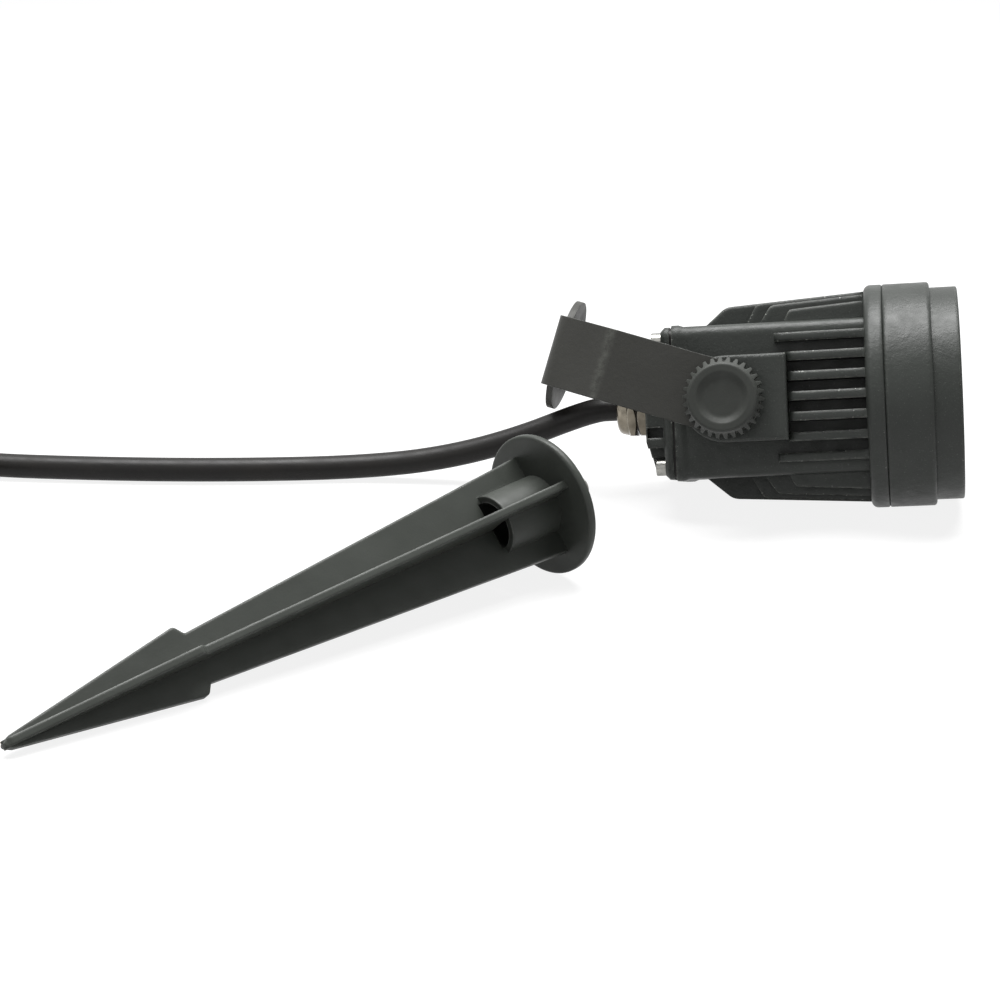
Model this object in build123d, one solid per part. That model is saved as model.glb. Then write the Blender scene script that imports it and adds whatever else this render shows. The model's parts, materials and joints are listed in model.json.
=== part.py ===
from build123d import *
import math
import os

# Garden spike spotlight, taken off its spike and laid on a table. Millimetres, +Z up.
# Head pieces are drawn about the knob axis: +X along the beam, -Y the near side, +Z the top.
# The bracket is drawn in line with its own arms and the spike along its own axis, both along +X.
# Then each assembly is set down where it rests, and the whole part is centred on its footprint.

# ---- housing: electronics box ----
BOX_WIDTH = 40.0
BOX_HEIGHT = 44.8
BOX_CORNER = 3.0
BOX_WALL = 3.0
BOX_BACK = 15.9  # from the knob axis back to the box's open rim
RIM_PROUD = 0.5
RIM_LENGTH = 2.0
RIM_TAPER = 1.4
BULKHEAD = 8.0
POST_RADIUS = 3.4
POST_LENGTH = 14.0
LEDGE_WIDTH = 2.0
LEDGE_HEIGHT = 2.0

# ---- housing: flange, spigot and light chamber ----
FLANGE_BACK = 39.9  # from the knob axis forward to the flange
FLANGE_THICK = 5.4
FLANGE_RADIUS = 33.0
FLANGE_ROUND = 2.0
SEAM_ROUND = 0.6
CHAMBER_FLOOR = 2.1
SPIGOT_WALL = 3.7
SPIGOT_LENGTH = 7.6
LEAD_HOLE_RADIUS = 2.7
LEAD_HOLE_INSET = 11.0  # from the chamber's wall to the hole's middle

# ---- housing: cooling fins and pivot pads ----
FIN_STEP = 1.8  # from the flange's rim in to the fins' front ends
FIN_FALL = 2.4  # how much nearer the axis the fins' crests are at the knobs
TOP_FIN_PITCH = 5.0
TOP_FIN_THICK = 2.0
TOP_FIN_STARTS = (-8.4, 5.0, 9.4, 16.8)  # from the middle fin outwards
TOP_FIN_RISES = (7.4, 3.5, 3.5, 1.6)  # length of each fin's sloping rear end
TOP_FIN_SHOULDERS = (5.0, 2.5, 2.5, 1.5)  # rounding where each slope meets the crest
SIDE_FIN_PITCH = 5.8
SIDE_FIN_THICK = 2.6
SIDE_FIN_STARTS = (17.3, 17.3, 17.3, 14.1)
SIDE_FIN_END = 2.2
FIN_ROOT = 1.0  # how far the fins reach into the box's walls
PAD_REACH = 13.0  # from the box's side out to the pad's face
PAD_HALF_HEIGHT = 12.4
PAD_FRONT = 17.6  # just past the rear ends of the side fins
PAD_EDGE = 0.6
STUD_HOLE_PAST = 0.8  # how much deeper than the pad its hole is

# ---- bezel ring, glass and seals ----
RING_LENGTH = 13.7
RING_ROUND = 1.0
RING_WALL = 2.7
HOOD_LENGTH = 7.95
HOOD_STEP = 1.7  # from the ring's outside in to the hood's
HOOD_WALL = 2.1
HOOD_ROUND = 0.5
LIP_COVER = 3.0  # how far the lip reaches in over the glass
LIP_THICK = 2.0
LIP_ROUND = 0.3
GLASS_STEP = 2.2  # from the spigot's outside in to the glass
GLASS_THICK = 4.0
GASKET_THICK = 1.0
SEAL_WIRE = 1.7  # thickness of the flange's O-ring
THREAD_GAP = 0.1
GLASS_GAP = 0.3
SEAL_GAP = 0.02

# ---- light source ----
PAD_THICK = 0.5
BOARD_MARGIN = 1.5
BOARD_THICK = 1.6
THERMAL_PAD_MARGIN = 1.0
LED_RADIUS = 7.0
LED_THICK = 1.2
REFLECTOR_FOOT_RADIUS = 8.6
REFLECTOR_FOOT_WALL = 1.4
REFLECTOR_WALL = 1.2
REFLECTOR_GAP = 0.3
BOARD_SCREW_INSET = 6.0
BOARD_SCREW_RADIUS = 1.5
BOARD_SCREW_LENGTH = 6.0
BOARD_SCREW_HEAD_RADIUS = 2.75
BOARD_SCREW_HEAD = 1.6
THREAD_SPARE = 0.5

# ---- driver ----
DRIVER_BACK = -8.0
DRIVER_FRONT = 30.0
DRIVER_RISE = 9.0  # top face of the board, from the box's underside
DRIVER_THICK = 1.6
DRIVER_GAP = 0.2
TERMINAL_SIZE = (9.0, 14.0, 7.0)
TERMINAL_INSET = 1.0
TRANSFORMER_SIZE = (14.0, 16.0, 13.0)
TRANSFORMER_ASIDE = 3.0
OUTLET_SIZE = (6.0, 8.0, 5.0)
OUTLET_INSET = 4.0
CAPACITOR_RADIUS = 4.0
CAPACITOR_HEIGHT = 14.0
PARTS_GAP = 1.0
LEAD_RADIUS = 0.75
LEAD_BEND = 1.6
LEAD_APART = 0.3  # between leads that run side by side
LEAD_FANNED = 1.5  # between leads at the terminal
LEAD_DROP_RUN = 9.0
LEAD_ENTRY_RUN = 4.5
LEAD_OUTLET_RUN = 3.0
LEAD_WALL_RUN = 2.0
LEAD_TAIL = 4.0

# ---- rear cover and its screws ----
COVER_GASKET_THICK = 0.7
COVER_GASKET_INSET = 0.4
COVER_RIM = 1.4
COVER_EDGE = 1.2
COVER_BODY = 5.5
COVER_BODY_INSET_Y = 2.5
COVER_BODY_INSET_Z = 1.5
COVER_SLOPE_HEIGHT = 9.9
COVER_TAPER = 2.4
COVER_ROUNDS = (1.5, 2.0)
COVER_WINDOWS = ((12.5, 3.0), (6.65, 2.7))  # each window's middle from the body's end, and its height
COVER_WINDOW_DEPTH = 4.0
COVER_WINDOW_EDGE = 0.4
SCREW_INSET_Y = 5.0
SCREW_INSET_Z = 3.8
SCREW_RADIUS = 1.5
SCREW_HEAD_RADIUS = 2.5
SCREW_HEAD = 3.0
SCREW_LENGTH = 14.0
SCREW_SOCKET_FLATS = 2.5
SCREW_SOCKET_DEPTH = 1.5
SCREW_GAP = 0.05
SCREW_CLEARANCE = 0.2
SCREW_HEAD_ROUND = 0.3
POCKET_SPACE = 1.2
POCKET_EDGE = 0.7  # how much tighter the pocket is above and below its screw

# ---- cable gland ----
GLAND_FLATS = 17.0
GLAND_HEX = 3.5
GLAND_THREAD_RADIUS = 7.5
GLAND_THREAD_LENGTH = 7.7
GLAND_NECK_RADIUS = 6.9
GLAND_NECK_LENGTH = 3.8
GLAND_BORE = 4.7
GLAND_RING_THICK = 0.8
GLAND_RING_WIDTH = 1.0
GLAND_SEAL_WALL = 1.9
GLAND_SEAL_LENGTH = 6.9
GLAND_SEAL_INSET = 1.1
GLAND_SEAL_TAPER = 1.6
GLAND_GAP = 0.1
NUT_SPACE = 0.5  # thread left showing between the two hexagons
NUT_HEX = 2.6
NUT_DOME = 3.4
NUT_DOME_RADIUS = 7.5
NUT_DOME_ROUND = 2.2
NUT_MOUTH_GAP = 0.25
NUT_ROOT_INSET = 0.2
NUT_SPARE = 0.2  # beyond the end of the neck

# ---- bracket ----
STRIP_WIDTH = 20.8
STRIP_THICK = 2.0
ARM_GAP = 0.2  # between each arm and its pad
KNEE_AT = 36.7
KNEE_ROUND = 8.0
BASE_AT = 53.8
BASE_INSET = 7.7  # how much nearer the axis than the arms the base's ends are
BASE_ROUND = 4.5
BASE_DISC_RADIUS = 16.75
BASE_HOLE_RADIUS = 3.3
PIVOT_HOLE_GAP = 0.3
BRACKET_ANGLE = 18.8  # the arms point this far above straight back

# ---- clamping knobs ----
WASHER_RADIUS = 6.0
WASHER_THICK = 1.4
WASHER_SEAT = 0.02  # running clearance between each knob washer and its arm
WASHER_HOLE_GAP = 0.2
KNOB_LENGTH = 7.0
KNOB_RADIUS = 11.6
KNOB_RIM = 2.4
KNOB_TEETH = 30
TOOTH_DEPTH = 1.4
KNOB_FACE_RADIUS = 9.8
KNOB_SHOULDER = 2.4
KNOB_ROUND = 0.9
DISH_RADIUS = 7.4
DISH_SLOPE = 1.8
DISH_DEPTH = 1.1
DISH_ROUNDS = (0.8, 2.0)  # at the dish's rim and at its floor
KNOB_ROUNDS = (0.4, 0.8, 0.8)
STUD_RADIUS = 3.0
STUD_GRIP = 11.0  # how far each stud reaches into its pad
STUD_EMBED = 4.5
STUD_GAP = 0.05
STUD_CHAMFER = 0.5

# ---- ground spike ----
SPIKE_LENGTH = 172.6
SPIKE_DISC_RADIUS = 20.0
SPIKE_DISC_THICK = 2.3
SPIKE_DISC_ROUND = 0.7
RIB_THICK = 2.2
RIB_RADIUS = 14.9
SHANK_RADIUS = 6.9
BARB_FROM_TIP = 54.0
BARB_RADIUS = 9.6
BARB_SLANT = 2.0
BARB_ROUND = 1.5
TIP_RADIUS = 1.6
TIP_LENGTH = 3.0
TIP_ROUND = 0.8
SHANK_ROUND = 0.8  # where the shank meets each barb
BARB_END_ROUND = 1.0
BOSS_RADIUS = 8.7
BOSS_LENGTH = 18.0
BOSS_WALL = 1.8
BOLT_RADIUS = 3.0
BOLT_REACH = 14.0
BOLT_FLATS = 10.0
BOLT_HEAD = 4.0
BOLT_GAP = 0.1
NUT_HEIGHT = 5.0
BOLT_WASHER_RADIUS = 6.0
BOLT_WASHER_THICK = 1.2

# ---- power cord ----
CORD_DIAMETER = 7.4
CORD_START = 26.6  # the sheath begins here inside the gland, behind the knob axis
CORD_EXIT_RUN = 42.6
CORD_ARC_SHARE = 0.45
# The free stretch in plan, and its centre's height above lying flat, from below the knob axis.
CORD_ROUTE = (
    (-67.0, -0.2, 9.9),
    (-91.0, -1.2, 3.0),
    (-115.5, -3.0, 0.0),
    (-142.0, -9.3, 0.0),
    (-170.0, -13.9, 0.0),
    (-198.0, -16.6, 0.0),
    (-225.0, -18.3, 0.1),
    (-244.0, -18.9, 1.0),
    (-260.0, -19.0, 1.0),
)
COIL_RADIUS = 43.0
COIL_GAP = 0.6
COIL_HALF_TURNS_DOWN = 3  # half turns spiralling in on the lower layer
COIL_HALF_TURNS_UP = 2  # half turns spiralling out on the upper layer
COIL_LEAD = 7.5
COIL_TAIL = 14.0
TIE_THICK = 0.7
TIE_WIDTH = 4.0
TIE_GAP = 0.15
CORE_RADIUS = 1.3
CORE_LENGTH = 22.0
CORE_SPREAD = 0.325
FERRULE_COLLAR = (1.6, 4.0)
FERRULE_PIN = (0.8, 8.0)

# ---- how the two assemblies lie ----
HEAD_ROLL = 19.25  # near side raised
SPIKE_SPOT = (-48.7, -74.0)  # middle of the spike's disc, from below the knob axis
SPIKE_HEADING = 51.45  # the tip points this far round from straight back, towards the near side
SPIKE_ROLL = 40.0  # the lower rib on the far side, from straight down

# ---- worked out from the sizes above ----
BOX_Y = BOX_WIDTH / 2
BOX_Z = BOX_HEIGHT / 2
SPIGOT_RADIUS = FLANGE_RADIUS - RING_WALL - THREAD_GAP
CHAMBER_RADIUS = SPIGOT_RADIUS - SPIGOT_WALL
GLASS_RADIUS = SPIGOT_RADIUS - GLASS_STEP
LIP_RADIUS = GLASS_RADIUS - LIP_COVER
HOOD_RADIUS = FLANGE_RADIUS - HOOD_STEP
BOARD_RADIUS = CHAMBER_RADIUS - BOARD_MARGIN
THERMAL_PAD_RADIUS = BOARD_RADIUS - THERMAL_PAD_MARGIN
BOARD_SCREW_OFFSET = BOARD_RADIUS - BOARD_SCREW_INSET
LEAD_HOLE_DROP = CHAMBER_RADIUS - LEAD_HOLE_INSET
FIN_RADIUS_FRONT = FLANGE_RADIUS - FIN_STEP
FIN_RADIUS_BACK = FIN_RADIUS_FRONT - FIN_FALL
PAD_FACE = BOX_Y + PAD_REACH
DRIVER_LEVEL = DRIVER_RISE - BOX_Z
SCREW_Y = BOX_Y - SCREW_INSET_Y
SCREW_Z = BOX_Z - SCREW_INSET_Z
COVER_BODY_HALF_WIDTH = BOX_Y - COVER_BODY_INSET_Y
COVER_BODY_HALF_HEIGHT = BOX_Z - COVER_BODY_INSET_Z
FLANGE_FACE = FLANGE_BACK + FLANGE_THICK
CHAMBER_X = FLANGE_BACK + CHAMBER_FLOOR
CAVITY_FRONT = CHAMBER_X - BULKHEAD
SPIGOT_END = FLANGE_FACE + SPIGOT_LENGTH
GASKET_END = SPIGOT_END + GASKET_THICK
GLASS_END = GASKET_END + GLASS_THICK
RING_END = FLANGE_FACE + RING_LENGTH
HOOD_END = RING_END + HOOD_LENGTH
RING_BORE = SPIGOT_RADIUS + THREAD_GAP
BOARD_BACK = CHAMBER_X + PAD_THICK
BOARD_FACE = BOARD_BACK + BOARD_THICK
COVER_FRONT = -BOX_BACK - COVER_GASKET_THICK
COVER_FLOOR = COVER_FRONT - COVER_RIM - COVER_EDGE
COVER_END = COVER_FLOOR - COVER_BODY
GLAND_HEX_END = COVER_END - GLAND_HEX
NUT_START = GLAND_HEX_END - NUT_SPACE
NUT_HEX_END = NUT_START - NUT_HEX
NUT_END = NUT_HEX_END - NUT_DOME
ARM_INNER = PAD_FACE + ARM_GAP
ARM_OUTER = ARM_INNER + STRIP_THICK
WASHER_OUTER = ARM_OUTER + WASHER_THICK
KNOB_OUTER = WASHER_OUTER + KNOB_LENGTH
BASE_HALF_WIDTH = ARM_OUTER - BASE_INSET
PIVOT_HOLE_RADIUS = STUD_RADIUS + PIVOT_HOLE_GAP
CORD_RADIUS = CORD_DIAMETER / 2
BARB_AT = SPIKE_LENGTH - BARB_FROM_TIP
CORD_NODES = ("power_cord", "cord_coil", "cord_tie", "cord_cores", "core_ferrules")
PLUS_MINUS = (1, -1)
HEXAGON_SLOPE = 0.58  # length of a hexagon's turned-off corner to its height


# ---- shapes used by several pieces ----
def upright(points, rounding=None):
    """Face in the X-Z plane, from (x, z) corners and the rounding of each corner."""
    if rounding:
        outline = FilletPolyline(*points, radius=rounding, close=True)
    else:
        outline = Polyline(*points, close=True)
    return make_face((Plane.XZ * outline).edges())


def turned(points, rounding=None):
    """Solid turned about X, from (x, radius) corners and the rounding of each corner."""
    return revolve(upright(points, rounding), Axis.X)


def tube(x0, x1, outer, inner=0.0):
    """Round bar or tube along X."""
    return turned([(x0, inner), (x0, outer), (x1, outer), (x1, inner)])


def block(x0, x1, half_y, half_z, corner):
    """Bar along X with a rounded rectangular section."""
    outline = Plane.YZ.offset(x0) * RectangleRounded(2 * half_y, 2 * half_z, corner)
    return extrude(outline, x1 - x0)


def bar(x0, x1, y0, y1, z0, z1):
    """Plain box between two corners."""
    return Pos((x0 + x1) / 2, (y0 + y1) / 2, (z0 + z1) / 2) * Box(x1 - x0, y1 - y0, z1 - z0)


def hexagon(x0, x1, flats):
    """Hexagonal prism along X with its corners turned off at both ends."""
    corner = flats / math.sqrt(3)
    prism = extrude(Plane.YZ.offset(x0) * RegularPolygon(corner, 6), x1 - x0)
    drop = (corner - flats / 2) * HEXAGON_SLOPE
    trim = [(x0, 0), (x0, flats / 2), (x0 + drop, corner), (x1 - drop, corner), (x1, flats / 2), (x1, 0)]
    return prism & turned(trim)


def corners(y, z):
    """The four places mirrored about the beam axis."""
    return [(sy * y, sz * z) for sy in PLUS_MINUS for sz in PLUS_MINUS]


def rod(points, radius, bend):
    """Round wire along a bent path."""
    path = FilletPolyline(*points, radius=bend)
    start = Plane(origin=path @ 0, z_dir=path % 0)
    return sweep(start * Circle(radius), path=path)


def group(shapes):
    """Separate solids kept together as one piece."""
    return Compound(children=[solid for shape in shapes for solid in shape.solids()])


# ---- housing ----
def fin_reach(x, level):
    """How far from the beam axis a fin's crest is, for the round taper that all crests follow."""
    radius = FIN_RADIUS_BACK + (FIN_RADIUS_FRONT - FIN_RADIUS_BACK) * x / FLANGE_BACK
    return math.sqrt(radius ** 2 - level ** 2)


def fin(start, front, root, points, rounding, half):
    """Upright slab under a crest given by its points and the rounding of each."""
    outline = upright([(start, root), *points, (front, root)], [0, *rounding, 0, 0])
    return extrude(outline, half, both=True)


def top_fins():
    """Upright fins above and below the box, with sloping rear ends."""
    front = FLANGE_BACK + FLANGE_THICK / 2
    root = BOX_Z - BOX_CORNER
    fins = []
    for number, start in enumerate(TOP_FIN_STARTS):
        offset = number * TOP_FIN_PITCH
        shoulder = start + TOP_FIN_RISES[number]
        points = [(start, BOX_Z), (shoulder, fin_reach(shoulder, offset)), (front, fin_reach(front, offset))]
        rounding = [0, TOP_FIN_SHOULDERS[number]]
        slab = fin(start, front, root, points, rounding, TOP_FIN_THICK / 2)
        for side in sorted({offset, -offset}):
            fins += [Pos(0, side, 0) * slab, Pos(0, side, 0) * mirror(slab, Plane.XY)]
    return fins


def side_fins():
    """Level fins on both sides of the box, in front of the pads."""
    front = FLANGE_BACK + FLANGE_THICK / 2
    fins = []
    for number, start in enumerate(SIDE_FIN_STARTS):
        offset = number * SIDE_FIN_PITCH
        points = [(start, fin_reach(start, offset)), (front, fin_reach(front, offset))]
        slab = fin(start, front, BOX_Y - FIN_ROOT, points, [SIDE_FIN_END], SIDE_FIN_THICK / 2)
        for level in sorted({offset, -offset}):
            fins += [Pos(0, 0, level) * Rot(turn, 0, 0) * slab for turn in (90, -90)]
    return fins


def pivot_pads():
    """Pads that carry the bracket's arms, each rounded at the back about the knob axis."""
    outline = Circle(PAD_HALF_HEIGHT)
    outline += Pos(PAD_FRONT / 2, 0) * Rectangle(PAD_FRONT, 2 * PAD_HALF_HEIGHT)
    pad = extrude(Plane.XZ.offset(BOX_Y - FIN_ROOT) * outline, PAD_REACH + FIN_ROOT)
    pad = fillet(pad.faces().sort_by(Axis.Y)[0].edges(), PAD_EDGE)
    depth = PAD_REACH + STUD_HOLE_PAST
    hole = extrude(Plane.XZ.offset(PAD_FACE - depth) * Circle(STUD_RADIUS + STUD_GAP), depth)
    return [pad, mirror(pad, Plane.XZ)], [hole, mirror(hole, Plane.XZ)]


def housing():
    """One casting: box, flange and spigot, fins and pivot pads."""
    pads, stud_holes = pivot_pads()
    shell = block(-BOX_BACK, FLANGE_BACK + 1, BOX_Y, BOX_Z, BOX_CORNER)
    shell += rim_band()
    shell += top_fins() + side_fins() + pads
    flange = [(FLANGE_BACK, 0), (FLANGE_BACK, FLANGE_RADIUS), (FLANGE_FACE, FLANGE_RADIUS), (FLANGE_FACE, 0)]
    shell += turned(flange, [0, FLANGE_ROUND, SEAM_ROUND, 0])
    shell += tube(FLANGE_FACE - 1, SPIGOT_END, SPIGOT_RADIUS)
    shell -= tube(CHAMBER_X, SPIGOT_END + 1, CHAMBER_RADIUS)
    shell -= tube(FLANGE_FACE, FLANGE_FACE + SEAL_WIRE + SEAL_GAP, SPIGOT_RADIUS + 1, seal_floor())
    shell -= box_cavity()
    shell -= stud_holes
    shell -= Pos(0, 0, -LEAD_HOLE_DROP) * tube(CAVITY_FRONT - 1, CHAMBER_X + 1, LEAD_HOLE_RADIUS)
    thread = BOARD_SCREW_RADIUS + SCREW_GAP
    for side in PLUS_MINUS:
        depth = BOARD_SCREW_LENGTH + THREAD_SPARE
        shell -= Pos(0, side * BOARD_SCREW_OFFSET, 0) * tube(BOARD_FACE - depth, CHAMBER_X + 1, thread)
    return shell


def rim_band():
    """Slightly proud band round the box's open end."""
    half_y = BOX_Y + RIM_PROUD
    half_z = BOX_Z + RIM_PROUD
    front = RIM_LENGTH - BOX_BACK
    band = block(-BOX_BACK, front, half_y, half_z, BOX_CORNER + RIM_PROUD)
    near = Plane.YZ.offset(front) * RectangleRounded(2 * half_y, 2 * half_z, BOX_CORNER + RIM_PROUD)
    far = Plane.YZ.offset(front + RIM_TAPER) * RectangleRounded(BOX_WIDTH, BOX_HEIGHT, BOX_CORNER)
    return band + loft([near, far])


def seal_floor():
    """Radius of the O-ring groove's floor on the spigot."""
    return RING_BORE - SEAL_WIRE - 2 * SEAL_GAP


def box_cavity():
    """Hollow of the box, less its screw posts and the ledges under the driver board."""
    half_y = BOX_Y - BOX_WALL
    half_z = BOX_Z - BOX_WALL
    hollow = block(-BOX_BACK - 1, CAVITY_FRONT, half_y, half_z, BOX_CORNER)
    under = DRIVER_LEVEL - DRIVER_THICK
    for side in PLUS_MINUS:
        edges = sorted((side * (half_y - LEDGE_WIDTH), side * (half_y + 1)))
        hollow -= bar(DRIVER_BACK, DRIVER_FRONT, *edges, under - LEDGE_HEIGHT, under)
    for y, z in corners(SCREW_Y, SCREW_Z):
        hollow -= Pos(0, y, z) * tube(-BOX_BACK - 2, POST_LENGTH - BOX_BACK, POST_RADIUS)
    depth = SCREW_LENGTH + 1 + COVER_FLOOR
    for y, z in corners(SCREW_Y, SCREW_Z):
        hollow += Pos(0, y, z) * tube(-BOX_BACK - 1, depth, SCREW_RADIUS + SCREW_GAP)
    return hollow


# ---- front end ----
def bezel_ring():
    """Ring screwed over the spigot, with the narrower hood in front of the glass."""
    pocket = GLASS_RADIUS + GLASS_GAP
    bore_end = SPIGOT_END + GLASS_GAP
    lip_end = GLASS_END + LIP_THICK
    hood_bore = HOOD_RADIUS - HOOD_WALL
    outer = [(FLANGE_FACE, FLANGE_RADIUS), (RING_END, FLANGE_RADIUS), (RING_END, HOOD_RADIUS)]
    mouth = [(HOOD_END, HOOD_RADIUS), (HOOD_END, hood_bore), (lip_end, hood_bore)]
    seat = [(lip_end, LIP_RADIUS), (GLASS_END, LIP_RADIUS), (GLASS_END, pocket)]
    inner = [(bore_end, pocket), (bore_end, RING_BORE), (FLANGE_FACE, RING_BORE)]
    rounding = [SEAM_ROUND, RING_ROUND, 0, HOOD_ROUND, HOOD_ROUND, 0, LIP_ROUND, 0, 0, 0, 0, 0]
    return turned(outer + mouth + seat + inner, rounding)


def flange_seal():
    """O-ring in the groove at the spigot's root."""
    middle = (RING_BORE + seal_floor()) / 2
    return Pos(FLANGE_FACE + (SEAL_WIRE + SEAL_GAP) / 2, 0, 0) * Rot(0, 90, 0) * Torus(middle, SEAL_WIRE / 2)


def glass_gasket():
    """Flat ring between the spigot and the glass."""
    return tube(SPIGOT_END, GASKET_END, GLASS_RADIUS, LIP_RADIUS)


def front_glass():
    """Flat toughened disc."""
    return tube(GASKET_END, GLASS_END, GLASS_RADIUS)


def reflector():
    """Conical cup between the board and the gasket."""
    rim = CHAMBER_RADIUS - REFLECTOR_GAP
    mouth = rim - REFLECTOR_WALL
    foot = REFLECTOR_FOOT_RADIUS
    heel = foot + REFLECTOR_FOOT_WALL
    points = [(BOARD_FACE, foot), (BOARD_FACE, heel), (SPIGOT_END - REFLECTOR_WALL, rim), (SPIGOT_END, rim)]
    points += [(SPIGOT_END, mouth), (BOARD_FACE + REFLECTOR_WALL, foot)]
    return turned(points)


def light_disc(x0, x1, radius):
    """Disc under the reflector, with holes for its screws and the leads."""
    disc = tube(x0, x1, radius)
    disc -= Pos(0, 0, -LEAD_HOLE_DROP) * tube(x0 - 1, x1 + 1, LEAD_HOLE_RADIUS)
    for side in PLUS_MINUS:
        hole = BOARD_SCREW_RADIUS + SCREW_CLEARANCE
        disc -= Pos(0, side * BOARD_SCREW_OFFSET, 0) * tube(x0 - 1, x1 + 1, hole)
    return disc


def led_cob():
    """Round light-emitting chip on the board."""
    return tube(BOARD_FACE, BOARD_FACE + LED_THICK, LED_RADIUS)


def board_screws():
    """Two screws that hold the board to the bulkhead."""
    head = tube(BOARD_FACE, BOARD_FACE + BOARD_SCREW_HEAD, BOARD_SCREW_HEAD_RADIUS)
    screw = head + tube(BOARD_FACE - BOARD_SCREW_LENGTH, BOARD_FACE, BOARD_SCREW_RADIUS)
    return group([Pos(0, side * BOARD_SCREW_OFFSET, 0) * screw for side in PLUS_MINUS])


# ---- driver ----
def driver_board():
    """Circuit board on the box's ledges."""
    half = BOX_Y - BOX_WALL - DRIVER_GAP
    return bar(DRIVER_BACK, DRIVER_FRONT, -half, half, DRIVER_LEVEL - DRIVER_THICK, DRIVER_LEVEL)


def standing(x, y, size):
    """Component standing on the driver board."""
    dx, dy, dz = size
    return bar(x, x + dx, y - dy / 2, y + dy / 2, DRIVER_LEVEL, DRIVER_LEVEL + dz)


def terminal_back():
    """Rear face of the inlet terminal."""
    return DRIVER_BACK + TERMINAL_INSET


def outlet_face():
    """Front face of the outlet terminal."""
    return DRIVER_FRONT - OUTLET_INSET


def driver_parts():
    """Terminals, transformer and two capacitors."""
    terminal = standing(terminal_back(), 0, TERMINAL_SIZE)
    beyond = terminal_back() + TERMINAL_SIZE[0] + 2 * PARTS_GAP
    transformer = standing(beyond, -TRANSFORMER_ASIDE, TRANSFORMER_SIZE)
    outlet = standing(outlet_face() - OUTLET_SIZE[0], 0, OUTLET_SIZE)
    aside = TRANSFORMER_SIZE[1] / 2 - TRANSFORMER_ASIDE + PARTS_GAP + CAPACITOR_RADIUS
    capacitors = []
    for x in (beyond + CAPACITOR_RADIUS, beyond + 3 * CAPACITOR_RADIUS + PARTS_GAP):
        place = Pos(x, aside, DRIVER_LEVEL + CAPACITOR_HEIGHT / 2)
        capacitors.append(place * Cylinder(CAPACITOR_RADIUS, CAPACITOR_HEIGHT))
    return group([terminal, transformer, outlet, *capacitors])


def inner_leads():
    """Three cores from the cord's end to the inlet terminal, and two on to the light board."""
    leads = []
    entry = DRIVER_LEVEL + TERMINAL_SIZE[2] / 2
    back = terminal_back()
    for number in (-1, 0, 1):
        y = number * (2 * LEAD_RADIUS + LEAD_APART)
        spread = number * (2 * LEAD_RADIUS + LEAD_FANNED)
        points = [(-CORD_START, y, 0), (back - LEAD_DROP_RUN, y, 0)]
        points += [(back - LEAD_ENTRY_RUN, spread, entry), (back, spread, entry)]
        leads.append(rod(points, LEAD_RADIUS, LEAD_BEND))
    level = DRIVER_LEVEL + OUTLET_SIZE[2] / 2
    end = -LEAD_HOLE_DROP
    face = BOARD_FACE + LEAD_RADIUS
    for side in PLUS_MINUS:
        y = side * (LEAD_RADIUS + LEAD_APART)
        points = [(outlet_face(), y, level), (outlet_face() + LEAD_OUTLET_RUN, y, level)]
        points += [(CAVITY_FRONT - LEAD_WALL_RUN, y, end), (face, y, end), (face, y, end - LEAD_TAIL)]
        leads.append(rod(points, LEAD_RADIUS, LEAD_RADIUS + LEAD_APART))
    return group(leads)


# ---- rear end ----
def rear_cover():
    """Cover plate with a raised, windowed middle that carries the gland."""
    plate = block(COVER_FRONT - COVER_RIM, COVER_FRONT, BOX_Y, BOX_Z, BOX_CORNER)
    back = Plane.YZ.offset(COVER_FLOOR)
    front = Plane.YZ.offset(COVER_FRONT - COVER_RIM)
    small = RectangleRounded(BOX_WIDTH - 2 * COVER_EDGE, BOX_HEIGHT - 2 * COVER_EDGE, BOX_CORNER - COVER_EDGE)
    plate += loft([front * RectangleRounded(BOX_WIDTH, BOX_HEIGHT, BOX_CORNER), back * small])
    plate += cover_body()
    for y, z in corners(SCREW_Y, SCREW_Z):
        plate -= Pos(0, y, z) * tube(COVER_END - 1, COVER_FRONT + 1, SCREW_RADIUS + SCREW_CLEARANCE)
    plate -= tube(COVER_END - 1, COVER_FRONT + 1, GLAND_THREAD_RADIUS + GLAND_GAP)
    ring = GLAND_THREAD_RADIUS + GLAND_GAP + GLAND_RING_WIDTH
    plate -= tube(COVER_END - 1, COVER_END + GLAND_RING_THICK, ring + GLAND_GAP)
    return plate


def cover_body():
    """Raised middle of the cover, with its corners left out for the screws."""
    half = COVER_BODY_HALF_HEIGHT
    shoulder = COVER_END + COVER_TAPER
    lower = [(COVER_FLOOR + COVER_EDGE / 2, -half), (shoulder, -half), (COVER_END, COVER_SLOPE_HEIGHT - half)]
    upper = [(x, -z) for x, z in reversed(lower)]
    outline = upright([*lower, *upper], [0, *COVER_ROUNDS, *reversed(COVER_ROUNDS), 0])
    body = extrude(outline, COVER_BODY_HALF_WIDTH, both=True)
    room = SCREW_HEAD_RADIUS + POCKET_SPACE
    for sy in PLUS_MINUS:
        ys = sorted((sy * (SCREW_Y - room), sy * (BOX_Y + 1)))
        depth = COVER_BODY_HALF_WIDTH - COVER_WINDOW_DEPTH
        slot = sorted((sy * depth, sy * (BOX_Y + 1)))
        for sz in PLUS_MINUS:
            zs = sorted((sz * (SCREW_Z - room + POCKET_EDGE), sz * (BOX_Z + 1)))
            body -= bar(COVER_END - 1, COVER_FLOOR, *ys, *zs)
            for middle, height in COVER_WINDOWS:
                z = sz * (half - middle)
                left = COVER_END + COVER_WINDOW_EDGE
                right = COVER_FLOOR - COVER_WINDOW_EDGE
                body -= bar(left, right, *slot, z - height / 2, z + height / 2)
    return body


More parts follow.
